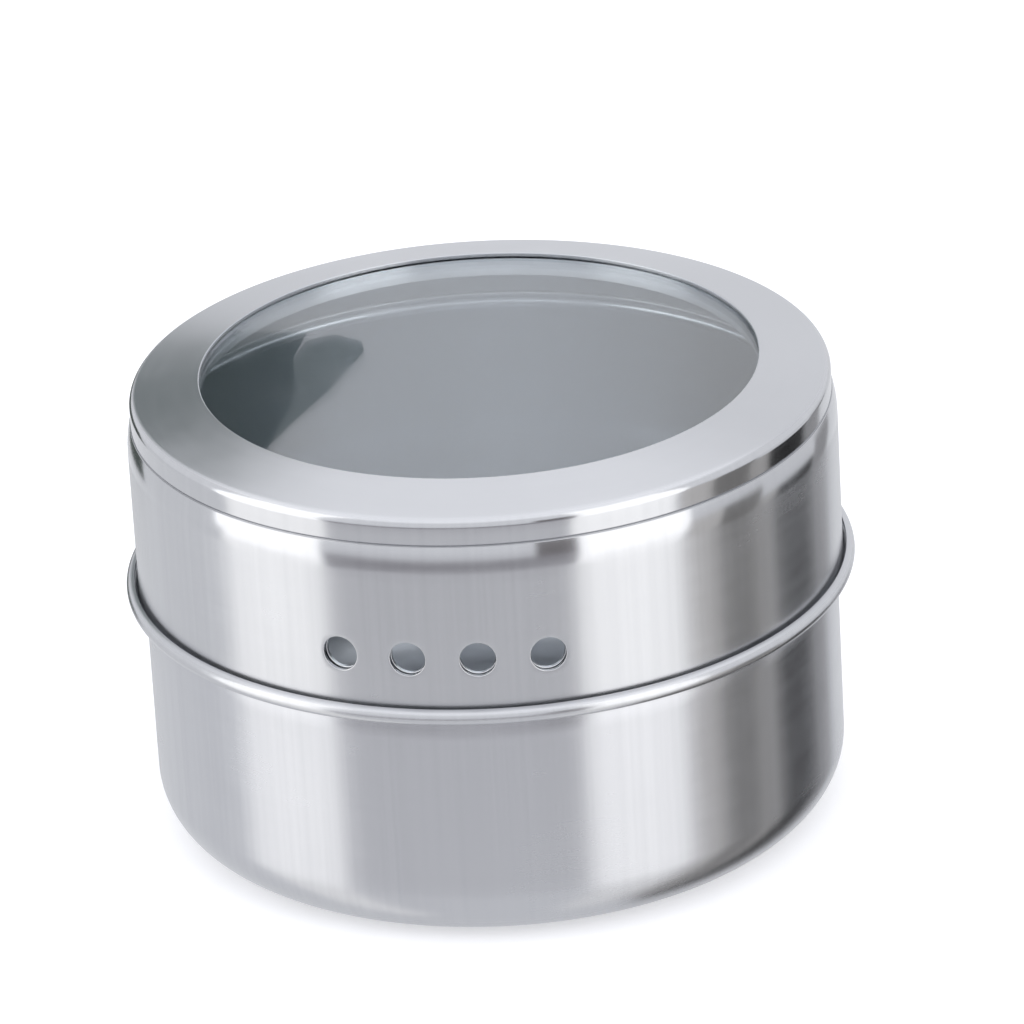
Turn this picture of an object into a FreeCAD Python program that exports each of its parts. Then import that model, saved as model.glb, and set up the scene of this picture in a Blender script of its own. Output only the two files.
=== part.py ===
import FreeCAD, Part
import math
import os
from types import SimpleNamespace

import Sketcher

# A round steel spice tin: a drawn cup, and a lid that turns on its neck to open the sprinkle holes.
# Frame: +Z up along the axis, origin at the centre of the face it stands on, the holes toward -Y.

# Driving dimensions in mm, angles in degrees
driving = {
    # Lid shell
    "lid_radius": 32.5,
    "lid_depth": 19.9,
    "lid_sheet": 0.4,
    "top_ring_width": 6.95,
    "top_slope": 11.0,
    "top_edge_round": 0.9,
    "band_inset": 0.45,
    "band_height": 1.5,
    "shoulder_radius": 9.0,
    "curl_radius": 0.75,
    # Window disc
    "window_overlap": 1.95,
    "window_thickness": 1.2,
    "window_gap": 0.05,
    # Retaining ring under the window
    "ring_sheet": 0.4,
    "ring_height": 5.75,
    "ring_clearance": 0.35,
    "ring_edge_round": 0.8,
    "ring_foot_bend": 0.3,
    "ring_seat_margin": 0.2,
    "ring_lip_setback": 0.45,
    "ring_lip_height": 1.6,
    # Cup
    "cup_height": 36.1,
    "cup_sheet": 0.4,
    "cup_corner": 5.5,
    "turning_clearance": 0.3,
    "neck_step": 0.15,
    "neck_step_height": 0.8,
    "neck_step_gap": 0.2,
    "base_bend": 1.0,
    "recess_bend": 0.5,
    # Sprinkle holes in lid and neck
    "hole_diameter": 3.2,
    "hole_count": 4,
    "hole_pitch": 11.1,
    "hole_middle": -8.45,
    "hole_rise": 5.4,
    # Magnet and its pad
    "magnet_radius": 15.0,
    "magnet_thickness": 3.0,
    "magnet_clearance": 0.4,
    "magnet_setback": 0.2,
    "pad_margin": 0.5,
    "pad_thickness": 0.5,
}


class Size:
    """A length or angle: its number, and the expression that gives it from the sheet."""

    def __init__(self, number, text):
        self.number = number
        self.text = text

    def __add__(self, other):
        other = as_size(other)
        return Size(self.number + other.number, f"({self.text} + {other.text})")

    def __sub__(self, other):
        other = as_size(other)
        return Size(self.number - other.number, f"({self.text} - {other.text})")

    def __mul__(self, other):
        other = as_size(other)
        return Size(self.number * other.number, f"({self.text} * {other.text})")

    def __truediv__(self, other):
        other = as_size(other)
        return Size(self.number / other.number, f"({self.text} / {other.text})")


def as_size(value):
    if isinstance(value, Size):
        return value
    return Size(value, str(value))


def sine(angle):
    return Size(math.sin(math.radians(angle.number)), f"sin({angle.text})")


def cosine(angle):
    return Size(math.cos(math.radians(angle.number)), f"cos({angle.text})")


def tangent(angle):
    return Size(math.tan(math.radians(angle.number)), f"tan({angle.text})")


def arc_rise(radius, reach):
    """How high an arc stands above its centre, at a reach sideways from that centre."""
    square = radius * radius - reach * reach
    return Size(math.sqrt(square.number), f"sqrt({square.text})")


doc = FreeCAD.newDocument("spice_tin")
sheet = doc.addObject("Spreadsheet::Sheet", "Sizes")
for row, (name, number) in enumerate(driving.items(), start=1):
    sheet.set(f"A{row}", name)
    sheet.set(f"B{row}", str(number))
    sheet.setAlias(f"B{row}", name)
doc.recompute()

size = SimpleNamespace(**{name: Size(number, f"Sizes.{name}") for name, number in driving.items()})
nothing = Size(0, "0")

# Heights, stacked up from the rim of the cup
window_underside = size.cup_height + size.ring_height
window_top = window_underside + size.window_thickness
lid_top = window_top + size.window_gap + size.lid_sheet / cosine(size.top_slope)
curl_height = lid_top - size.lid_depth
hole_height = curl_height + size.hole_rise

# Radii shared by the lid, the window, the ring and the cup
opening_radius = size.lid_radius - size.top_ring_width
window_radius = opening_radius + size.window_overlap
ring_lip_radius = opening_radius + size.ring_lip_setback
lid_bore = size.lid_radius - size.lid_sheet
band_radius = size.lid_radius - size.band_inset
neck_radius = lid_bore - size.turning_clearance
cup_radius = neck_radius + size.neck_step
hoop_radius = band_radius - size.lid_sheet - size.ring_clearance
recess_radius = size.magnet_radius + size.magnet_clearance
pad_radius = size.magnet_radius - size.pad_margin
magnet_top = size.magnet_setback + size.magnet_thickness
recess_depth = magnet_top + size.pad_thickness

# The sketcher's own numbers for its two axes, and for the points of an edge
HORIZONTAL_AXIS, VERTICAL_AXIS = (-1, -2)
START, END, CENTRE = range(1, 4)


def origin_feature(body, role):
    for feature in body.Origin.OriginFeatures:
        if feature.Role == role:
            return feature


def new_body(label):
    body = doc.addObject("PartDesign::Body", label)
    body.Label = label
    body.Placement = FreeCAD.Placement()
    return body


def new_sketch(body, name):
    """A sketch on the body's own XZ plane: sketch X is the radius, sketch Y is the height."""
    sketch = body.newObject("Sketcher::SketchObject", name)
    sketch.AttachmentSupport = [(origin_feature(body, "XZ_Plane"), "")]
    sketch.MapMode = "FlatFace"
    sketch.Visibility = False
    return sketch


def bind(sketch, kind, *arguments):
    """Add a constraint whose last argument is a size, and tie it to the sheet."""
    index = sketch.addConstraint(Sketcher.Constraint(kind, *arguments[:-1], arguments[-1].number))
    sketch.setExpression(f"Constraints[{index}]", arguments[-1].text)


def place(sketch, edge, end, axis, distance):
    """Fix one end of an edge at a distance along an axis, or on the other axis where it is nothing."""
    if distance.number:
        kind = "DistanceX" if axis == HORIZONTAL_AXIS else "DistanceY"
        bind(sketch, kind, HORIZONTAL_AXIS, START, edge, end, distance)
    else:
        other = VERTICAL_AXIS if axis == HORIZONTAL_AXIS else HORIZONTAL_AXIS
        sketch.addConstraint(Sketcher.Constraint("PointOnObject", edge, end, other))


def arc_centre(start, end, radius, turn):
    """The centre of an arc under a half circle that turns left or right from start to end."""
    chord = end - start
    side = FreeCAD.Vector(-chord.y, chord.x, 0).normalize()
    height = math.sqrt(max(radius * radius - chord.Length * chord.Length / 4, 0))
    return (start + end) * 0.5 + side * (height if turn == "left" else -height)


def draw_step(sketch, start, end, bend):
    """Draw one line or arc, and give back its number, its first end and its last end."""
    if not bend:
        return sketch.addGeometry(Part.LineSegment(start, end), False), START, END
    radius, turn = bend
    centre = arc_centre(start, end, radius.number, turn)
    circle = Part.Circle(centre, FreeCAD.Vector(0, 0, 1), radius.number)
    ends = (start, end) if turn == "left" else (end, start)
    arc = Part.ArcOfCircle(circle, circle.parameter(ends[0]), circle.parameter(ends[1]))
    edge = sketch.addGeometry(arc, False)
    bind(sketch, "Radius", edge, radius)
    return (edge, START, END) if turn == "left" else (edge, END, START)


def draw_outline(sketch, steps):
    """Draw a closed outline. Each step is the (radius, height) it goes to, then for an arc its own
    radius and the way it turns. The sheet fixes each corner, and each arc by its radius too."""
    points = [FreeCAD.Vector(step[0].number, step[1].number, 0) for step in steps]
    edges = [draw_step(sketch, points[index - 1], points[index], step[2:])
             for index, step in enumerate(steps)]
    for index, step in enumerate(steps):
        edge, _, last = edges[index]
        following, first, _ = edges[(index + 1) % len(steps)]
        sketch.addConstraint(Sketcher.Constraint("Coincident", edge, last, following, first))
        place(sketch, edge, last, HORIZONTAL_AXIS, step[0])
        place(sketch, edge, last, VERTICAL_AXIS, step[1])


def turned_body(label, steps):
    """A body made by turning a closed outline once round the axis."""
    body = new_body(label)
    sketch = new_sketch(body, f"{label}_section")
    draw_outline(sketch, steps)
    doc.recompute()
    turning = body.newObject("PartDesign::Revolution", f"{label}_turning")
    turning.Profile = sketch
    turning.ReferenceAxis = (sketch, ["V_Axis"])
    turning.Angle = 360
    doc.recompute()
    return body


def cut_sprinkle_holes(body):
    """Cut the row of round holes through the front wall, at the same places in lid and neck."""
    sketch = new_sketch(body, f"{body.Label}_hole")
    centre = FreeCAD.Vector(0, hole_height.number, 0)
    circle = Part.Circle(centre, FreeCAD.Vector(0, 0, 1), size.hole_diameter.number / 2)
    edge = sketch.addGeometry(circle, False)
    place(sketch, edge, CENTRE, HORIZONTAL_AXIS, nothing)
    place(sketch, edge, CENTRE, VERTICAL_AXIS, hole_height)
    bind(sketch, "Diameter", edge, size.hole_diameter)
    first_hole = size.hole_middle - size.hole_pitch * (size.hole_count - 1) / 2
    turn = f"rotation(vector(0; 1; 0); {first_hole.text})"
    sketch.setExpression("AttachmentOffset", f"placement(vector(0; 0; 0); {turn})")
    doc.recompute()
    whole = body.Shape.Volume
    pocket = body.newObject("PartDesign::Pocket", f"{body.Label}_sprinkle_hole")
    pocket.Profile = sketch
    pocket.Type = "ThroughAll"
    pocket.Reversed = True
    doc.recompute()
    one_hole = whole - body.Shape.Volume
    row = body.newObject("PartDesign::PolarPattern", f"{body.Label}_hole_row")
    row.Originals = [pocket]
    row.Axis = (origin_feature(body, "Z_Axis"), [""])
    row.Mode = "Spacing"
    row.setExpression("Offset", size.hole_pitch.text)
    row.setExpression("Occurrences", size.hole_count.text)
    body.Tip = row
    doc.recompute()
    holes_cut = (whole - body.Shape.Volume) / one_hole
    print(f"{body.Label}: {holes_cut:.2f} holes cut, {one_hole:.3f} mm3 each")
    if abs(holes_cut - size.hole_count.number) > 0.01:
        raise RuntimeError(f"{body.Label}: the row of sprinkle holes is not cut")


def make_tin_cup():
    """Recess for the magnet, flat foot, rounded corner, wall, slight step in to the neck, rim."""
    wall = size.cup_sheet
    step_top = curl_height - size.curl_radius - size.neck_step_gap
    step_foot = step_top - size.neck_step_height
    foot_inside = recess_radius + size.base_bend
    foot_outside = cup_radius - size.cup_corner
    roof_edge = recess_radius - size.recess_bend
    bend_height = recess_depth - size.recess_bend
    cup = turned_body("tin_cup", [
        (nothing, recess_depth),
        (roof_edge, recess_depth),
        (recess_radius, bend_height, size.recess_bend, "right"),
        (recess_radius, size.base_bend),
        (foot_inside, nothing, size.base_bend, "left"),
        (foot_outside, nothing),
        (cup_radius, size.cup_corner, size.cup_corner, "left"),
        (cup_radius, step_foot),
        (neck_radius, step_top),
        (neck_radius, size.cup_height),
        (neck_radius - wall, size.cup_height),
        (neck_radius - wall, step_top),
        (cup_radius - wall, step_foot),
        (cup_radius - wall, size.cup_corner),
        (foot_outside, wall, size.cup_corner - wall, "right"),
        (foot_inside, wall),
        (recess_radius + wall, size.base_bend, size.base_bend - wall, "right"),
        (recess_radius + wall, bend_height),
        (roof_edge, recess_depth + wall, size.recess_bend + wall, "left"),
        (nothing, recess_depth + wall),
    ])
    cut_sprinkle_holes(cup)
    return cup


def make_lid_shell():
    """Sloping top ring, rounded edge, band, shoulder, wall, and a lower edge curled outward."""
    wall = size.lid_sheet
    edge_round = size.top_edge_round
    edge_centre = band_radius - edge_round
    edge_start = edge_centre + edge_round * sine(size.top_slope)
    edge_top = lid_top - (edge_start - opening_radius) * tangent(size.top_slope)
    edge_height = edge_top - edge_round * cosine(size.top_slope)
    inner_round = edge_round - wall
    inner_start = edge_centre + inner_round * sine(size.top_slope)
    inner_top = edge_height + inner_round * cosine(size.top_slope)
    shoulder = size.shoulder_radius
    shoulder_top = edge_height - size.band_height
    shoulder_foot = shoulder_top - arc_rise(shoulder, shoulder - size.band_inset)
    inner_shoulder = shoulder - wall
    inner_shoulder_top = shoulder_foot + arc_rise(inner_shoulder, inner_shoulder - size.band_inset)
    curl = size.curl_radius
    curl_centre = lid_bore + curl
    hollow = curl - wall
    lid = turned_body("lid_shell", [
        (opening_radius, lid_top),
        (opening_radius, lid_top - wall / cosine(size.top_slope)),
        (inner_start, inner_top),
        (band_radius - wall, edge_height, inner_round, "right"),
        (band_radius - wall, inner_shoulder_top),
        (lid_bore, shoulder_foot, inner_shoulder, "right"),
        (lid_bore, curl_height),
        (curl_centre, curl_height - curl, curl, "left"),
        (curl_centre + curl, curl_height, curl, "left"),
        (curl_centre, curl_height + curl, curl, "left"),
        (curl_centre, curl_height + hollow),
        (curl_centre + hollow, curl_height, hollow, "right"),
        (curl_centre, curl_height - hollow, hollow, "right"),
        (size.lid_radius, curl_height, hollow, "right"),
        (size.lid_radius, shoulder_foot),
        (band_radius, shoulder_top, shoulder, "left"),
        (band_radius, edge_height),
        (edge_start, edge_top, edge_round, "left"),
    ])
    cut_sprinkle_holes(lid)
    return lid


def make_window_disc():
    """Clear and flat, its brim bevelled to lie along the underside of the top ring."""
    brim_top = window_top - (window_radius - opening_radius) * tangent(size.top_slope)
    return turned_body("window_disc", [
        (nothing, window_underside),
        (window_radius, window_underside),
        (window_radius, brim_top),
        (opening_radius, window_top),
        (nothing, window_top),
    ])


def make_window_retaining_ring():
    """Foot on the rim of the cup, hoop, sloping flange, flat seat and turned-down lip."""
    wall = size.ring_sheet
    seat_edge = window_radius + size.ring_seat_margin
    inner_seat_edge = seat_edge - wall * tangent(size.top_slope / 2)
    edge_round = size.ring_edge_round
    edge_centre = hoop_radius - edge_round
    edge_start = edge_centre + edge_round * sine(size.top_slope)
    edge_top = window_underside - (edge_start - seat_edge) * tangent(size.top_slope)
    edge_height = edge_top - edge_round * cosine(size.top_slope)
    inner_round = edge_round - wall
    inner_start = edge_centre + inner_round * sine(size.top_slope)
    inner_top = edge_height + inner_round * cosine(size.top_slope)
    foot_top = size.cup_height + wall
    lip_foot = window_underside - size.ring_lip_height
    return turned_body("window_retaining_ring", [
        (hoop_radius - wall, size.cup_height),
        (neck_radius, size.cup_height),
        (neck_radius, foot_top),
        (hoop_radius + size.ring_foot_bend, foot_top),
        (hoop_radius, foot_top + size.ring_foot_bend, size.ring_foot_bend, "right"),
        (hoop_radius, edge_height),
        (edge_start, edge_top, edge_round, "left"),
        (seat_edge, window_underside),
        (ring_lip_radius, window_underside),
        (ring_lip_radius, lip_foot),
        (ring_lip_radius + wall, lip_foot),
        (ring_lip_radius + wall, window_underside - wall),
        (inner_seat_edge, window_underside - wall),
        (inner_start, inner_top),
        (hoop_radius - wall, edge_height, inner_round, "right"),
    ])


def make_disc(label, radius, underside, top):
    """A plain round disc on the axis."""
    return turned_body(label, [
        (nothing, underside),
        (radius, underside),
        (radius, top),
        (nothing, top),
    ])


pieces = [
    make_tin_cup(),
    make_lid_shell(),
    make_window_disc(),
    make_window_retaining_ring(),
    make_disc("base_magnet", size.magnet_radius, size.magnet_setback, magnet_top),
    make_disc("magnet_adhesive_pad", pad_radius, magnet_top, recess_depth),
]

doc.recompute()
for item in doc.Objects:
    if "Invalid" in item.State or "Error" in item.State:
        raise RuntimeError(f"{item.Label} failed: {item.State}")
for piece in pieces:
    if piece.Shape.isNull() or not piece.Shape.isValid():
        raise RuntimeError(f"{piece.Label} has no valid shape")

os.makedirs("parts", exist_ok=True)
for piece in pieces:
    piece.Shape.exportStep(f"parts/{piece.Label}.step")
    box = piece.Shape.optimalBoundingBox()
    print(f"{piece.Label}: {len(piece.Shape.Solids)} solid, {piece.Shape.Volume:.1f} mm3, "
          f"radius {box.XMax:.3f}, height {box.ZMin:.3f} to {box.ZMax:.3f}")
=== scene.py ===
import math

import bmesh
import bpy
from mathutils import Matrix, Vector


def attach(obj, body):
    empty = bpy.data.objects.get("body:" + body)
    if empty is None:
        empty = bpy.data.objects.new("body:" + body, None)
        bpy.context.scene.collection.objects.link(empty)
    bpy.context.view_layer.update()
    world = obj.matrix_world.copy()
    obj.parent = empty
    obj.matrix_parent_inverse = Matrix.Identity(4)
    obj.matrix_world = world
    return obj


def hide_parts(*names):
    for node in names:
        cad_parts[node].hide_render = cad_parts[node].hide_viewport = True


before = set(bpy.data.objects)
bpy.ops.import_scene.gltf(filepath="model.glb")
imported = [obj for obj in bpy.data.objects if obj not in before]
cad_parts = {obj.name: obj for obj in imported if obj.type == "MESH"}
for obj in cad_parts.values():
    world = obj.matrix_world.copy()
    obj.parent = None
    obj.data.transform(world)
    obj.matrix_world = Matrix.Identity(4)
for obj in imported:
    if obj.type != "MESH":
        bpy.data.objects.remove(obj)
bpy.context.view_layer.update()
scene = bpy.context.scene
scene.view_settings.view_transform = "Standard"

# Camera: 0.7 m from the middle of the tin, looking down 25 degrees, held a little askew
MIDDLE = Vector((0, 0, 0.022))
DISTANCE = 0.7
PITCH = math.radians(25.04)
ROLL = math.radians(3.46)
AIM_RIGHT = 0.0019
AIM_UP = 0.00581
LENS = 266.6


def make_camera():
    toward_camera = Vector((0, -math.cos(PITCH), math.sin(PITCH)))
    level_up = Vector((0, math.sin(PITCH), math.cos(PITCH)))
    level_right = Vector((1, 0, 0))
    right = level_right * math.cos(ROLL) - level_up * math.sin(ROLL)
    up = level_right * math.sin(ROLL) + level_up * math.cos(ROLL)
    place = MIDDLE + toward_camera * DISTANCE
    back = (place - MIDDLE - right * AIM_RIGHT - up * AIM_UP).normalized()
    side = up.cross(back).normalized()
    turn = Matrix((side, back.cross(side), back)).transposed().to_4x4()
    camera = bpy.data.objects.new("camera", bpy.data.cameras.new("camera"))
    camera.data.sensor_width = 36
    camera.data.lens = LENS
    camera.data.clip_start = 0.01
    camera.data.clip_end = 20
    camera.matrix_world = Matrix.Translation(place) @ turn
    scene.collection.objects.link(camera)
    scene.camera = camera


make_camera()

# Sizes of the tin in mm, the same as in the solids
LID_RADIUS = 32.5
LID_DEPTH = 19.9
SHEET = 0.4
OPENING_RADIUS = 25.55
TOP_SLOPE = math.radians(11)
TOP_EDGE_ROUND = 0.9
BAND_INSET = 0.45
BAND_HEIGHT = 1.5
SHOULDER_RADIUS = 9.0
CURL_RADIUS = 0.75
WINDOW_THICKNESS = 1.2
WINDOW_GAP = 0.05
RING_HEIGHT = 5.75
RING_CLEARANCE = 0.35
RING_EDGE_ROUND = 0.8
RING_FOOT_BEND = 0.3
RING_SEAT_EDGE = OPENING_RADIUS + 2.15
RING_LIP_HEIGHT = 1.6
CUP_HEIGHT = 36.1
CUP_CORNER = 5.5
TURNING_CLEARANCE = 0.3
NECK_STEP = 0.15
NECK_STEP_HEIGHT = 0.8
NECK_STEP_GAP = 0.2
BASE_BEND = 1.0
RECESS_BEND = 0.5
HOLE_DIAMETER = 3.2
HOLE_COUNT = 4
HOLE_PITCH = 11.1
HOLE_MIDDLE = -8.45
HOLE_RISE = 5.4
RECESS_RADIUS = 15.4
RECESS_DEPTH = 3.7

WINDOW_UNDERSIDE = CUP_HEIGHT + RING_HEIGHT
WINDOW_TOP = WINDOW_UNDERSIDE + WINDOW_THICKNESS
LID_TOP = WINDOW_TOP + WINDOW_GAP + SHEET / math.cos(TOP_SLOPE)
CURL_HEIGHT = LID_TOP - LID_DEPTH
HOLE_HEIGHT = CURL_HEIGHT + HOLE_RISE
LID_BORE = LID_RADIUS - SHEET
BAND_RADIUS = LID_RADIUS - BAND_INSET
NECK_RADIUS = LID_BORE - TURNING_CLEARANCE
CUP_RADIUS = NECK_RADIUS + NECK_STEP
HOOP_RADIUS = BAND_RADIUS - SHEET - RING_CLEARANCE
SLOPE_SINE, SLOPE_COSINE, SLOPE_TANGENT = math.sin(TOP_SLOPE), math.cos(TOP_SLOPE), math.tan(TOP_SLOPE)
EDGE_CENTRE = BAND_RADIUS - TOP_EDGE_ROUND
EDGE_START = EDGE_CENTRE + TOP_EDGE_ROUND * SLOPE_SINE
EDGE_TOP = LID_TOP - (EDGE_START - OPENING_RADIUS) * SLOPE_TANGENT
EDGE_HEIGHT = EDGE_TOP - TOP_EDGE_ROUND * SLOPE_COSINE
SHOULDER_TOP = EDGE_HEIGHT - BAND_HEIGHT
SHOULDER_FOOT = SHOULDER_TOP - math.sqrt(SHOULDER_RADIUS ** 2 - (SHOULDER_RADIUS - BAND_INSET) ** 2)

# Finer than the solids: the groove under the lid's band, the flared lip and the foot bead of the
# retaining ring, and the bead inside the neck's mouth
GROOVE_DEPTH = 0.12
GROOVE_RISE = 0.2
GROOVE_DROP = 0.2
RING_LIP_TOP = OPENING_RADIUS + 0.6
RING_LIP_FOOT = OPENING_RADIUS + 0.1
RING_LIP_CURVE = 9.7
RING_FOOT_BEAD = 0.2
NECK_BEAD_HEIGHT = 35.15
NECK_BEAD_HALF = 0.45
NECK_BEAD_CURVE = 0.53

# How finely the pieces are turned: mm, and degrees
LONGEST_STEP = 1.1
ARC_STEP = 5
CELL_STEPS = 12
PLAIN_COLUMNS = 340
EDGE_EASE = 0.1
SHARP_TURN = 14


# Turned pieces

def arc_points(start, end, radius, turn):
    """Points of an arc under a half circle that turns left or right, without its start."""
    chord = end - start
    side = Vector((-chord.y, chord.x)).normalized() * (1 if turn == "left" else -1)
    centre = (start + end) / 2 + side * math.sqrt(max(radius * radius - chord.length_squared / 4, 0))
    first = math.atan2(start.y - centre.y, start.x - centre.x)
    last = math.atan2(end.y - centre.y, end.x - centre.x)
    swing = (last - first) % math.tau if turn == "left" else -((first - last) % math.tau)
    count = max(3, math.ceil(abs(math.degrees(swing)) / ARC_STEP))
    angles = (first + swing * (index + 1) / count for index in range(count))
    return [centre + Vector((math.cos(angle), math.sin(angle))) * radius for angle in angles]


def line_points(start, end, rows):
    """Points of a line without its start, stopping at each of the given heights that it crosses."""
    stops = [start]
    if abs(start.x - end.x) < 1e-4:
        low, high = sorted((start.y, end.y))
        crossed = [Vector((start.x, row)) for row in rows if low < row < high]
        stops += crossed if end.y > start.y else crossed[::-1]
    stops.append(end)
    points = []
    for before, after in zip(stops, stops[1:]):
        count = max(1, math.ceil((after - before).length / LONGEST_STEP))
        points += [before.lerp(after, (index + 1) / count) for index in range(count)]
    return points


def outline(steps, rows=()):
    """The closed outline as points. Each step is the (radius, height) it goes to, then for an arc its own
    radius and the way it turns."""
    points = []
    for index, step in enumerate(steps):
        start, end = Vector(steps[index - 1][:2]), Vector(step[:2])
        points += arc_points(start, end, *step[2:]) if step[2:] else line_points(start, end, rows)
    return eased(points)


def eased(points):
    """Round off each sharp corner of the sheet a little, as a rolled or cut edge is."""
    made = []
    for index, corner in enumerate(points):
        before, after = points[index - 1], points[(index + 1) % len(points)]
        coming, going = (corner - before), (after - corner)
        turn = coming.angle(going, 0)
        if corner.x < 1e-4 or turn < math.radians(50):
            made.append(corner)
            continue
        reach = min(EDGE_EASE * math.tan(turn / 2), 0.45 * coming.length, 0.45 * going.length)
        start, end = corner - coming.normalized() * reach, corner + going.normalized() * reach
        radius = reach / math.tan(turn / 2)
        way = "left" if coming.x * going.y - coming.y * going.x > 0 else "right"
        made += [start] + arc_points(start, end, radius, way)
    return made


FIRST_HOLE = HOLE_MIDDLE - HOLE_PITCH * (HOLE_COUNT - 1) / 2
CELL_START = FIRST_HOLE - HOLE_PITCH / 2
CELL_END = CELL_START + HOLE_PITCH * HOLE_COUNT
CELL_COLUMNS = CELL_STEPS * HOLE_COUNT
COLUMNS = [CELL_START + HOLE_PITCH * index / CELL_STEPS for index in range(CELL_COLUMNS)]
COLUMNS += [CELL_END + (360 - CELL_END + CELL_START) * index / PLAIN_COLUMNS for index in range(PLAIN_COLUMNS)]
HOLE_ROWS = [HOLE_HEIGHT + 6 * (index / CELL_STEPS - 0.5) for index in range(CELL_STEPS + 1)]


def on_shell(turn, radius, height):
    """A point at an angle in degrees from the front, toward +X. Sizes in mm, the point in metres."""
    angle = math.radians(turn)
    return Vector((radius * math.sin(angle), -radius * math.cos(angle), height)) / 1000


def cell_edge():
    """The points round the cell of one hole, as (degrees from the hole, height)."""
    low, high = HOLE_ROWS[0], HOLE_ROWS[-1]
    turns = [HOLE_PITCH * (index / CELL_STEPS - 0.5) for index in range(CELL_STEPS + 1)]
    below = [(turn, low) for turn in turns]
    above = [(turn, high) for turn in turns[::-1]]
    rising = [(turns[-1], row) for row in HOLE_ROWS]
    falling = [(turns[0], row) for row in HOLE_ROWS[::-1]]
    return below[:-1] + rising[:-1] + above[:-1] + falling[:-1]


def hole_ring(bm, turn, shell, hole_radius, blend=1.0):
    """A ring of vertices round one hole on a shell, from the cell's edge (0) to the hole itself (1)."""
    ring = []
    for offset, height in cell_edge():
        rise = height - HOLE_HEIGHT
        way = math.atan2(rise, math.radians(offset) * shell)
        round_turn = math.degrees(math.asin(hole_radius * math.cos(way) / shell))
        round_rise = hole_radius * math.sin(way)
        ring.append(bm.verts.new(on_shell(
            turn + offset + (round_turn - offset) * blend, shell, HOLE_HEIGHT + rise + (round_rise - rise) * blend)))
    return ring


def bridge(bm, ring, following):
    count = len(ring)
    for index in range(count):
        after = (index + 1) % count
        bm.faces.new((ring[index], ring[after], following[after], following[index]))


def pierce(bm, outside, inside):
    """Fill the cells of a double wall, with a round hole through each."""
    radius = HOLE_DIAMETER / 2
    ease = [(EDGE_EASE * (1 - math.sin(math.radians(angle))), EDGE_EASE * (1 - math.cos(math.radians(angle))))
            for angle in range(0, 91, 13)]
    for index in range(HOLE_COUNT):
        turn = FIRST_HOLE + HOLE_PITCH * index
        rings = [hole_ring(bm, turn, outside, radius + EDGE_EASE, blend) for blend in (0, 0.2, 0.4, 0.6, 0.8)]
        rings += [hole_ring(bm, turn, outside - deep, radius + wide) for wide, deep in ease]
        rings += [hole_ring(bm, turn, inside + deep, radius + wide) for wide, deep in ease[::-1]]
        rings += [hole_ring(bm, turn, inside, radius + EDGE_EASE, blend) for blend in (0.8, 0.6, 0.4, 0.2, 0)]
        for ring, following in zip(rings, rings[1:]):
            bridge(bm, ring, following)


def turned_piece(node, steps, body, material, walls=()):
    """Turn an outline round the axis, as a closed mesh that stands for a node. Walls are the outside and
    inside radius of a wall with the sprinkle holes."""
    points = outline(steps, HOLE_ROWS if walls else ())
    bm = bmesh.new()
    rings = []
    for point in points:
        columns = COLUMNS if point.x > 1e-4 else COLUMNS[:1]
        rings.append([bm.verts.new(on_shell(turn, point.x, point.y)) for turn in columns])

    def is_pierced(point):
        return any(abs(point.x - wall) < 1e-4 for wall in walls) \
            and HOLE_ROWS[0] - 1e-4 < point.y < HOLE_ROWS[-1] + 1e-4

    for index, ring in enumerate(rings):
        before = rings[index - 1]
        if len(ring) == len(before) == 1:
            continue
        skip = CELL_COLUMNS if walls and is_pierced(points[index]) and is_pierced(points[index - 1]) else 0
        for column in range(skip, len(COLUMNS)):
            after = (column + 1) % len(COLUMNS)
            corners = [before[column % len(before)], before[after % len(before)],
                       ring[after % len(ring)], ring[column % len(ring)]]
            bm.faces.new(list(dict.fromkeys(corners)))
    if walls:
        pierce(bm, *walls)
    bmesh.ops.remove_doubles(bm, verts=bm.verts, dist=1e-7)
    bmesh.ops.recalc_face_normals(bm, faces=bm.faces)
    open_edges = sum(1 for edge in bm.edges if len(edge.link_faces) != 2)
    if open_edges:
        raise RuntimeError(f"{node}: {open_edges} edges are open")
    mesh = bpy.data.meshes.new(node + "_turned")
    bm.to_mesh(mesh)
    bm.free()
    mesh.shade_smooth()
    mesh.set_sharp_from_angle(angle=math.radians(SHARP_TURN))
    mesh.materials.append(material)
    piece = bpy.data.objects.new(node + "_turned", mesh)
    scene.collection.objects.link(piece)
    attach(piece, body)
    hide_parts(node)
    return piece


# Node helpers

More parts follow.
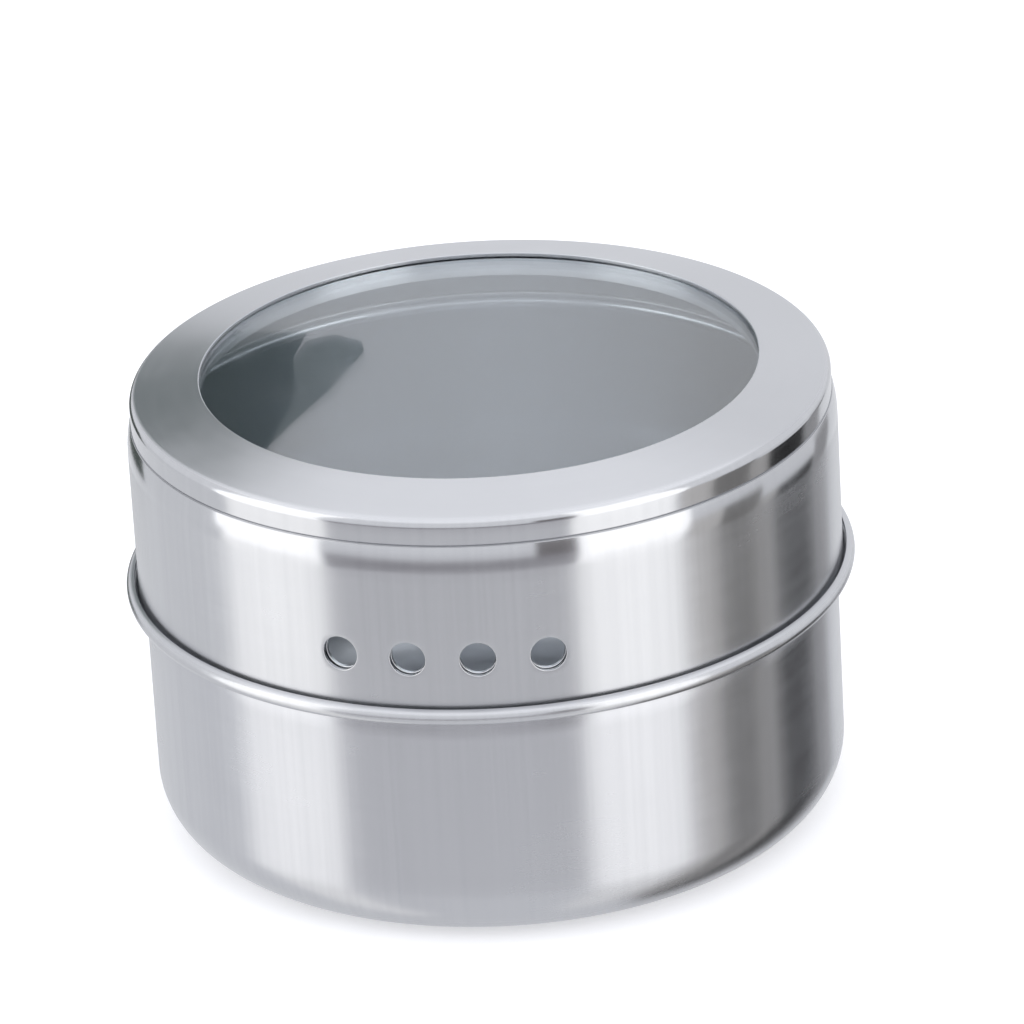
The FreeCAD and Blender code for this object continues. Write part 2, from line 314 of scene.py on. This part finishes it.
class Nodes:
    """Builds a node tree: each call adds one node, wires what it is given, and returns its output."""

    def __init__(self, tree):
        self.tree = tree
        tree.nodes.clear()

    def add(self, kind, inputs=None, output=0, **settings):
        node = self.tree.nodes.new(kind)
        for name, value in settings.items():
            setattr(node, name, value)
        for name, value in (inputs or {}).items():
            if isinstance(value, bpy.types.NodeSocket):
                self.tree.links.new(value, node.inputs[name])
            else:
                node.inputs[name].default_value = value
        return node.outputs[output] if node.outputs else None

    def math(self, operation, a, b=0.0, clamp=False):
        return self.add("ShaderNodeMath", {0: a, 1: b}, operation=operation, use_clamp=clamp)

    def ramp(self, value, low, high, to_low=0.0, to_high=1.0):
        """A smooth step of a value from one number to another."""
        return self.add("ShaderNodeMapRange", {
            "Value": value, "From Min": low, "From Max": high, "To Min": to_low, "To Max": to_high,
        }, interpolation_type="SMOOTHSTEP")

    def scale(self, value, low, high, to_low, to_high):
        return self.add("ShaderNodeMapRange", {
            "Value": value, "From Min": low, "From Max": high, "To Min": to_low, "To Max": to_high,
        })

    def mix_colour(self, factor, a, b):
        return self.add("ShaderNodeMix", {0: factor, 6: a, 7: b}, output=2, data_type="RGBA")

    def noise(self, vector, size, detail=3.0, roughness=0.55):
        return self.add("ShaderNodeTexNoise", {
            "Vector": vector, "Scale": 1 / size, "Detail": detail, "Roughness": roughness,
        })

    def surface(self, shader):
        self.add("ShaderNodeOutputMaterial", {"Surface": shader})


def new_material(name):
    material = bpy.data.materials.new(name)
    material.use_nodes = True
    return material, Nodes(material.node_tree)


# Materials

# Turns of noise round the tin, and its steps per metre up the wall
FINE_LINES = (3, 1900)
BROAD_LINES = (1.3, 700)
DRAW_MARKS = (38, 10)
SMEAR_SIZE = 0.011
BRUSH_HEIGHT = 0.000005
# Painted shade in the groove under the lid's band: how far it reaches, and its colour
GROOVE_SHADE_REACH = (0.00008, 0.00018)
GROOVE_SHADE_COLOUR = (0.25, 0.25, 0.26, 1)


def brushed_steel(name, dark, light, inner, walls, flats, insides, burnished=None, groove_shade=None, inside_shade=None):
    """Drawn sheet, brushed round the axis, with drawing marks down the walls and soft smears. Three
    roughnesses; then for a rim that the tool has burnished its lowest height in mm and its roughness; the
    height in mm of a groove darkened with painted shade; and the height in mm and the colour of painted shade on the
    inside and floor, darker towards the bottom."""
    material, nodes = new_material(name)
    place = nodes.add("ShaderNodeTexCoord", output=3)
    x, y, z = (nodes.add("ShaderNodeSeparateXYZ", {0: place}, output=axis) for axis in range(3))
    radius = nodes.math("SQRT", nodes.math("ADD", nodes.math("MULTIPLY", x, x), nodes.math("MULTIPLY", y, y)))
    reach = nodes.math("MAXIMUM", radius, 0.0005)
    across = nodes.math("DIVIDE", x, reach)
    along = nodes.math("DIVIDE", y, reach)
    climb = nodes.math("ADD", z, radius)

    def round_the_axis(turn, rise):
        """Coordinates that stretch a pattern round the tin, or down its walls, with no seam."""
        return nodes.add("ShaderNodeCombineXYZ", {
            0: nodes.math("MULTIPLY", across, turn),
            1: nodes.math("MULTIPLY", along, turn),
            2: nodes.math("MULTIPLY", climb, rise),
        })

    lines = nodes.noise(round_the_axis(*FINE_LINES), 1, 2, 0.5)
    broad_lines = nodes.noise(round_the_axis(*BROAD_LINES), 1, 2)
    draw_marks = nodes.noise(round_the_axis(*DRAW_MARKS), 1, 3, 0.65)
    smears = nodes.noise(place, SMEAR_SIZE, 4, 0.6)
    normal = nodes.add("ShaderNodeNewGeometry", output=1)
    upward = nodes.add("ShaderNodeSeparateXYZ", {0: normal}, output=2)
    flat = nodes.ramp(nodes.math("ABSOLUTE", upward), 0.6, 0.95)
    streaks = nodes.add("ShaderNodeMix", {0: flat, 2: draw_marks, 3: 0.5})
    spoke = nodes.add("ShaderNodeCombineXYZ", {0: across, 1: along})
    outward = nodes.add("ShaderNodeVectorMath", {0: normal, 1: spoke}, output=1, operation="DOT_PRODUCT")
    inside = nodes.ramp(outward, -0.1, -0.6)
    # Painted light and shade inside: faces toward the axis and the floor take the shade colour low down, fading to
    # the pale inner colour higher up
    if inside_shade:
        inside = nodes.math("MAXIMUM", inside, nodes.ramp(upward, 0.3, 0.8))
        height, shade_colour = inside_shade
        inner = nodes.mix_colour(nodes.ramp(z, (height - 4) / 1000, (height + 4) / 1000), shade_colour, inner)

    tone = nodes.math("ADD", nodes.math("MULTIPLY", lines, 0.12), nodes.math("MULTIPLY", streaks, 0.48))
    tone = nodes.math("ADD", tone, nodes.math("MULTIPLY", smears, 0.4))
    # Faces toward the axis take the inner colour, which on the cup and the ring is painted light
    colour = nodes.mix_colour(inside, nodes.mix_colour(nodes.ramp(tone, 0.32, 0.68), dark, light), inner)
    # Painted shade: the colour darkens in a thin band at the groove's height
    if groove_shade:
        away = nodes.math("ABSOLUTE", nodes.math("SUBTRACT", z, groove_shade / 1000))
        colour = nodes.mix_colour(nodes.ramp(away, *GROOVE_SHADE_REACH, 0.75), GROOVE_SHADE_COLOUR, colour)
    base = walls
    if burnished:
        rim, shine = burnished
        base = nodes.ramp(z, (rim - 0.3) / 1000, (rim + 0.5) / 1000, walls, shine)
    base = nodes.add("ShaderNodeMix", {0: flat, 2: base, 3: flats})
    base = nodes.add("ShaderNodeMix", {0: inside, 2: base, 3: insides})
    spread = nodes.math("ADD", nodes.scale(lines, 0.3, 0.7, -0.01, 0.01),
                        nodes.scale(smears, 0.3, 0.7, -0.02, 0.03))
    roughness = nodes.math("ADD", base, spread, clamp=True)
    grain = nodes.math("ADD", nodes.math("MULTIPLY", lines, 0.25), nodes.math("MULTIPLY", broad_lines, 0.75))
    bump = nodes.add("ShaderNodeBump", {"Height": grain, "Strength": 0.25, "Distance": BRUSH_HEIGHT})
    tangent = nodes.add("ShaderNodeTangent", direction_type="RADIAL", axis="Z")
    nodes.surface(nodes.add("ShaderNodeBsdfPrincipled", {
        "Base Color": colour,
        "Metallic": 1.0,
        "Roughness": roughness,
        "Anisotropic": 0.75,
        "Anisotropic Rotation": 0.25,
        "Normal": bump,
        "Tangent": tangent,
    }))
    return material


def clear_plastic():
    """Moulded window: clear, with a faint haze, fine specks and a slight waviness."""
    material, nodes = new_material("clear_window")
    place = nodes.add("ShaderNodeTexCoord", output=3)
    haze = nodes.noise(place, 0.009, 4, 0.6)
    specks = nodes.noise(place, 0.0006, 2, 0.5)
    wear = nodes.math("ADD", nodes.ramp(haze, 0.42, 0.75, 0.0, 0.05), nodes.ramp(specks, 0.66, 0.8, 0.0, 0.06))
    roughness = nodes.math("ADD", wear, 0.015)
    ripple = nodes.noise(place, 0.016, 1)
    nodes.surface(nodes.add("ShaderNodeBsdfPrincipled", {
        "Base Color": (0.93, 0.97, 1.0, 1),
        "Roughness": roughness,
        "IOR": 1.57,
        "Transmission Weight": 1.0,
        "Normal": nodes.add("ShaderNodeBump", {"Height": ripple, "Strength": 0.2, "Distance": 0.00005}),
    }))
    return material


def ferrite():
    """Pressed and fired magnet: near black, grained, rubbed smoother in places."""
    material, nodes = new_material("magnet")
    place = nodes.add("ShaderNodeTexCoord", output=3)
    grains = nodes.noise(place, 0.0004, 3, 0.7)
    rubbed = nodes.noise(place, 0.005, 4, 0.6)
    nodes.surface(nodes.add("ShaderNodeBsdfPrincipled", {
        "Base Color": nodes.mix_colour(
            nodes.ramp(grains, 0.35, 0.7), (0.035, 0.036, 0.040, 1), (0.10, 0.10, 0.11, 1)),
        "Metallic": 0.35,
        "Roughness": nodes.scale(rubbed, 0.3, 0.7, 0.48, 0.68),
        "Normal": nodes.add("ShaderNodeBump", {"Height": grains, "Strength": 0.4, "Distance": 0.00004}),
    }))
    return material


def foam():
    """Foam tape with open cells."""
    material, nodes = new_material("pad")
    place = nodes.add("ShaderNodeTexCoord", output=3)
    cells = nodes.add("ShaderNodeTexVoronoi", {"Vector": place, "Scale": 2800.0})
    nodes.surface(nodes.add("ShaderNodeBsdfPrincipled", {
        "Base Color": nodes.mix_colour(
            nodes.ramp(cells, 0.1, 0.7), (0.62, 0.62, 0.58, 1), (0.80, 0.80, 0.77, 1)),
        "Roughness": nodes.scale(cells, 0, 0.8, 0.9, 0.78),
        "Normal": nodes.add("ShaderNodeBump", {"Height": cells, "Strength": 0.6, "Distance": 0.00008}),
    }))
    return material


# The pieces. Three solids keep their shape and are dressed; three are turned anew, finer than the solids

def dress(node, material):
    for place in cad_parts[node].material_slots:
        place.material = material


dress("window_disc", clear_plastic())
dress("base_magnet", ferrite())
dress("magnet_adhesive_pad", foam())

# The groove under the lid's band gets painted shade
lid_steel = brushed_steel(
    "lid_steel", (0.56, 0.565, 0.585, 1), (0.595, 0.60, 0.62, 1), (0.56, 0.58, 0.61, 1), 0.25, 0.33, 0.35,
    burnished=(SHOULDER_FOOT, 0.15), groove_shade=SHOULDER_TOP - GROOVE_DROP + 0.05)
# The cup's inside is painted: its pale inner colour higher up is painted light, fading to painted shade towards the
# floor
cup_steel = brushed_steel(
    "cup_steel", (0.55, 0.555, 0.58, 1), (0.585, 0.59, 0.615, 1), (0.90, 0.925, 0.96, 1), 0.25, 0.34, 0.30,
    inside_shade=(11, (0.44, 0.45, 0.47, 1)))
# The ring's steel is painted lighter than the lid's, and lighter still on faces toward the axis: painted light
# inside the lid
ring_steel = brushed_steel(
    "ring_steel", (0.68, 0.69, 0.71, 1), (0.76, 0.77, 0.79, 1), (0.91, 0.92, 0.94, 1), 0.25, 0.30, 0.34)


def make_lid():
    inner_round = TOP_EDGE_ROUND - SHEET
    inner_start = EDGE_CENTRE + inner_round * SLOPE_SINE
    inner_top = EDGE_HEIGHT + inner_round * SLOPE_COSINE
    inner_shoulder = SHOULDER_RADIUS - SHEET
    inner_reach = inner_shoulder - BAND_INSET
    inner_shoulder_top = SHOULDER_FOOT + math.sqrt(inner_shoulder ** 2 - inner_reach ** 2)
    curl_centre = LID_BORE + CURL_RADIUS
    hollow = CURL_RADIUS - SHEET
    groove_height = SHOULDER_TOP - GROOVE_DROP
    groove_rise = groove_height - SHOULDER_FOOT
    groove_edge = LID_RADIUS - SHOULDER_RADIUS + math.sqrt(SHOULDER_RADIUS ** 2 - groove_rise ** 2)
    return turned_piece("lid_shell", [
        (OPENING_RADIUS, LID_TOP),
        (OPENING_RADIUS, LID_TOP - SHEET / SLOPE_COSINE),
        (inner_start, inner_top),
        (BAND_RADIUS - SHEET, EDGE_HEIGHT, inner_round, "right"),
        (BAND_RADIUS - SHEET, inner_shoulder_top),
        (LID_BORE, SHOULDER_FOOT, inner_shoulder, "right"),
        (LID_BORE, CURL_HEIGHT),
        (curl_centre, CURL_HEIGHT - CURL_RADIUS, CURL_RADIUS, "left"),
        (curl_centre + CURL_RADIUS, CURL_HEIGHT, CURL_RADIUS, "left"),
        (curl_centre, CURL_HEIGHT + CURL_RADIUS, CURL_RADIUS, "left"),
        (curl_centre, CURL_HEIGHT + hollow),
        (curl_centre + hollow, CURL_HEIGHT, hollow, "right"),
        (curl_centre, CURL_HEIGHT - hollow, hollow, "right"),
        (LID_RADIUS, CURL_HEIGHT, hollow, "right"),
        (LID_RADIUS, SHOULDER_FOOT),
        (groove_edge, groove_height, SHOULDER_RADIUS, "left"),
        (BAND_RADIUS - GROOVE_DEPTH, groove_height - 0.6 * GROOVE_DEPTH),
        (BAND_RADIUS, groove_height + GROOVE_RISE),
        (BAND_RADIUS, EDGE_HEIGHT),
        (EDGE_START, EDGE_TOP, TOP_EDGE_ROUND, "left"),
    ], "lid", lid_steel, walls=(LID_RADIUS, LID_BORE))


def make_cup():
    step_top = CURL_HEIGHT - CURL_RADIUS - NECK_STEP_GAP
    step_foot = step_top - NECK_STEP_HEIGHT
    foot_inside = RECESS_RADIUS + BASE_BEND
    foot_outside = CUP_RADIUS - CUP_CORNER
    roof_edge = RECESS_RADIUS - RECESS_BEND
    bend_height = RECESS_DEPTH - RECESS_BEND
    return turned_piece("tin_cup", [
        (0, RECESS_DEPTH),
        (roof_edge, RECESS_DEPTH),
        (RECESS_RADIUS, bend_height, RECESS_BEND, "right"),
        (RECESS_RADIUS, BASE_BEND),
        (foot_inside, 0, BASE_BEND, "left"),
        (foot_outside, 0),
        (CUP_RADIUS, CUP_CORNER, CUP_CORNER, "left"),
        (CUP_RADIUS, step_foot),
        (NECK_RADIUS, step_top),
        (NECK_RADIUS, CUP_HEIGHT),
        (NECK_RADIUS - SHEET, CUP_HEIGHT),
        (NECK_RADIUS - SHEET, NECK_BEAD_HEIGHT + NECK_BEAD_HALF),
        (NECK_RADIUS - SHEET, NECK_BEAD_HEIGHT - NECK_BEAD_HALF, NECK_BEAD_CURVE, "left"),
        (NECK_RADIUS - SHEET, step_top),
        (CUP_RADIUS - SHEET, step_foot),
        (CUP_RADIUS - SHEET, CUP_CORNER),
        (foot_outside, SHEET, CUP_CORNER - SHEET, "right"),
        (foot_inside, SHEET),
        (RECESS_RADIUS + SHEET, BASE_BEND, BASE_BEND - SHEET, "right"),
        (RECESS_RADIUS + SHEET, bend_height),
        (roof_edge, RECESS_DEPTH + SHEET, RECESS_BEND + SHEET, "left"),
        (0, RECESS_DEPTH + SHEET),
    ], "cup", cup_steel, walls=(NECK_RADIUS, NECK_RADIUS - SHEET))


def make_ring():
    inner_seat_edge = RING_SEAT_EDGE - SHEET * math.tan(TOP_SLOPE / 2)
    edge_centre = HOOP_RADIUS - RING_EDGE_ROUND
    edge_start = edge_centre + RING_EDGE_ROUND * SLOPE_SINE
    edge_top = WINDOW_UNDERSIDE - (edge_start - RING_SEAT_EDGE) * SLOPE_TANGENT
    edge_height = edge_top - RING_EDGE_ROUND * SLOPE_COSINE
    inner_round = RING_EDGE_ROUND - SHEET
    foot_top = CUP_HEIGHT + SHEET
    hoop_bore = HOOP_RADIUS - SHEET
    lip_foot = WINDOW_UNDERSIDE - RING_LIP_HEIGHT
    return turned_piece("window_retaining_ring", [
        (hoop_bore, CUP_HEIGHT, RING_FOOT_BEAD, "left"),
        (NECK_RADIUS, CUP_HEIGHT),
        (NECK_RADIUS, foot_top),
        (HOOP_RADIUS + RING_FOOT_BEND, foot_top),
        (HOOP_RADIUS, foot_top + RING_FOOT_BEND, RING_FOOT_BEND, "right"),
        (HOOP_RADIUS, edge_height),
        (edge_start, edge_top, RING_EDGE_ROUND, "left"),
        (RING_SEAT_EDGE, WINDOW_UNDERSIDE),
        (RING_LIP_TOP, WINDOW_UNDERSIDE),
        (RING_LIP_FOOT, lip_foot, RING_LIP_CURVE, "left"),
        (RING_LIP_FOOT + SHEET, lip_foot),
        (RING_LIP_TOP + SHEET, WINDOW_UNDERSIDE - SHEET, RING_LIP_CURVE, "right"),
        (inner_seat_edge, WINDOW_UNDERSIDE - SHEET),
        (edge_centre + inner_round * SLOPE_SINE, edge_height + inner_round * SLOPE_COSINE),
        (hoop_bore, edge_height, inner_round, "right"),
        (hoop_bore, CUP_HEIGHT + 2 * RING_FOOT_BEAD),
        (hoop_bore - RING_FOOT_BEAD, CUP_HEIGHT + RING_FOOT_BEAD, RING_FOOT_BEAD, "left"),
    ], "lid_ring", ring_steel)


make_lid()
make_cup()
make_ring()


# Stage: floor, cards and lamps

def mesh_object(name, points, faces):
    mesh = bpy.data.meshes.new(name)
    mesh.from_pydata(points, [], faces)
    mesh.update()
    made = bpy.data.objects.new(name, mesh)
    scene.collection.objects.link(made)
    return made


def camera_or(nodes, seen, otherwise, through_glass=False):
    """One shader where the camera looks straight at it, or through glass, and the other for other light."""
    looks = nodes.add("ShaderNodeLightPath", output="Is Camera Ray")
    if through_glass:
        looks = nodes.math("MAXIMUM", looks, nodes.add("ShaderNodeLightPath", output="Is Transmission Ray"))
    return nodes.add("ShaderNodeMixShader", {0: looks, 1: otherwise, 2: seen})


def make_floor():
    half = 3.0
    floor = mesh_object(
        "floor", [(-half, -half, 0), (half, -half, 0), (half, half, 0), (-half, half, 0)], [(0, 1, 2, 3)])
    material, nodes = new_material("pale_floor")
    grain = nodes.noise(nodes.add("ShaderNodeTexCoord", output=3), 0.004, 3)
    colour = nodes.mix_colour(grain, (0.73, 0.73, 0.75, 1), (0.77, 0.77, 0.79, 1))
    plain = nodes.add("ShaderNodeBsdfDiffuse", {"Color": colour})
    lift = nodes.add("ShaderNodeEmission", {"Color": (1, 1, 1, 1), "Strength": 0.38})
    seen = nodes.add("ShaderNodeAddShader", {0: plain, 1: lift})
    nodes.surface(camera_or(nodes, seen, plain, through_glass=True))
    floor.data.materials.append(material)
    floor.visible_glossy = False


def card(name, points, faces, colour, strength):
    """A card that shows only in the shine of the tin and its window: the camera and the lamps' light pass
    through it."""
    made = mesh_object(name, points, faces)
    material, nodes = new_material(name)
    nodes.surface(nodes.add("ShaderNodeEmission", {"Color": colour, "Strength": strength}))
    made.data.materials.append(material)
    made.visible_camera = False
    made.visible_diffuse = False
    made.visible_shadow = False
    return made


FAR = 1.5
EYE = 0.035


def sweep_card(name, start, stop, colour, strength, low, high):
    """A tall curved card far round the tin. Angles in degrees from the front, toward +X, and above the tin."""
    steps = 24
    bottom, top = (EYE + FAR * math.tan(math.radians(angle)) for angle in (low, high))
    points = []
    for step in range(steps + 1):
        turn = math.radians(start + (stop - start) * step / steps)
        points += [(FAR * math.sin(turn), -FAR * math.cos(turn), height) for height in (bottom, top)]
    faces = [(2 * step, 2 * step + 2, 2 * step + 3, 2 * step + 1) for step in range(steps)]
    return card(name, points, faces, colour, strength)


# Name, first and last angle round the tin, colour, strength, lowest and highest angle
SWEEP_CARDS = [
    ("dark_front", -52, 27, (0.95, 0.93, 1.0, 1), 0.38, -21, -7.5),
    ("dark_front_right", 14, 26.5, (1.0, 0.93, 0.95, 1), 0.20, -17, 10),
    ("glow_left", -93, -54, (1, 1, 1, 1), 1.38, -33, -17),
    ("glow_left_low", -90, -57, (1, 1, 1, 1), 1.15, -75, -33),
    ("glow_right", 26, 63, (1, 1, 1, 1), 1.48, -33, -17),
    ("glow_right_low", 30, 62, (1, 1, 1, 1), 1.05, -75, -33),
    ("soft_right", 65, 78, (1.0, 0.98, 0.96, 1), 0.66, -70, -9),
    ("grey_right", 78, 95, (1.0, 0.98, 0.96, 1), 0.24, -70, -9),
    ("pale_right", 95, 105, (1.0, 0.98, 0.96, 1), 0.50, -70, -18),
    ("dark_right", 105, 128, (1.0, 0.97, 0.95, 1), 0.01, -70, -18),
    ("grey_right_far", 128, 143, (0.97, 0.97, 1.0, 1), 0.36, -70, -12),
    ("dark_left", -172, -138, (0.85, 1.0, 0.92, 1), 0.10, -19.5, -4),
    ("softbox_left_face", -90.5, -53.5, (1, 1, 1, 1), 1.8, -17, 48),
    ("softbox_right_face", 27.5, 64, (1, 1, 1, 1), 1.8, -17, 48),
]

make_floor()
for settings in SWEEP_CARDS:
    sweep_card(*settings)


def flat_card(name, outline, colour, strength):
    """A flat card 0.15 m behind the tin, by its corners across and up."""
    return card(name, [(x, 0.15, z) for x, z in outline], [tuple(range(len(outline)))], colour, strength)


flat_card("leaf", [
    (-0.0190, 0.1029), (-0.0209, 0.1061), (-0.0206, 0.1097), (-0.0242, 0.1164), (-0.033, 0.128),
    (-0.040, 0.165), (-0.052, 0.190), (-0.085, 0.190), (-0.110, 0.120), (-0.095, 0.062), (-0.058, 0.055),
    (-0.044, 0.075), (-0.034, 0.1010),
], (0.75, 1.0, 1.0, 1), 0.13)
flat_card("pale_leaf", [
    (-0.0191, 0.1038), (-0.0160, 0.1033), (-0.0130, 0.1043), (-0.0128, 0.1055), (-0.0157, 0.1086),
    (-0.0242, 0.1164), (-0.0206, 0.1097), (-0.0209, 0.1061),
], (0.85, 1.0, 1.0, 1), 0.30)


def softbox(name, turn, low, high, half_width, power):
    """A far lamp facing the tin. Angles in degrees from the front and above the tin."""
    lamp = bpy.data.lights.new(name, "AREA")
    lamp.shape = "RECTANGLE"
    bottom, top = (FAR * math.tan(math.radians(angle)) for angle in (low, high))
    lamp.size = 2 * FAR * math.tan(math.radians(half_width))
    lamp.size_y = top - bottom
    lamp.energy = power
    made = bpy.data.objects.new(name, lamp)
    angle = math.radians(turn)
    made.location = (FAR * math.sin(angle), -FAR * math.cos(angle), EYE + (bottom + top) / 2)
    made.rotation_euler = (math.radians(90), 0, angle)
    scene.collection.objects.link(made)


softbox("softbox_left", -73.5, -12, 48, 19.5, 8)
softbox("softbox_right", 46, -12, 48, 18.5, 8)


def make_world():
    """White above the horizon, a little more overhead, and the tone of the floor below it. The camera
    sees it white all over."""
    world = bpy.data.worlds.new("studio")
    world.use_nodes = True
    scene.world = world
    nodes = Nodes(world.node_tree)
    direction = nodes.add("ShaderNodeTexCoord", output=0)
    height = nodes.add("ShaderNodeSeparateXYZ", {0: direction}, output=2)
    overhead = nodes.ramp(height, 0.64, 0.76, 1.0, 1.35)
    above = nodes.ramp(height, -0.05, 0.03)
    shade = nodes.add("ShaderNodeMix", {0: above, 2: 0.88, 3: overhead})
    plain = nodes.add("ShaderNodeBackground", {"Color": (0.95, 0.965, 1.0, 1), "Strength": shade})
    white = nodes.add("ShaderNodeBackground", {"Color": (1, 1, 1, 1), "Strength": 1.0})
    nodes.add("ShaderNodeOutputWorld", {"Surface": camera_or(nodes, white, plain)})


make_world()
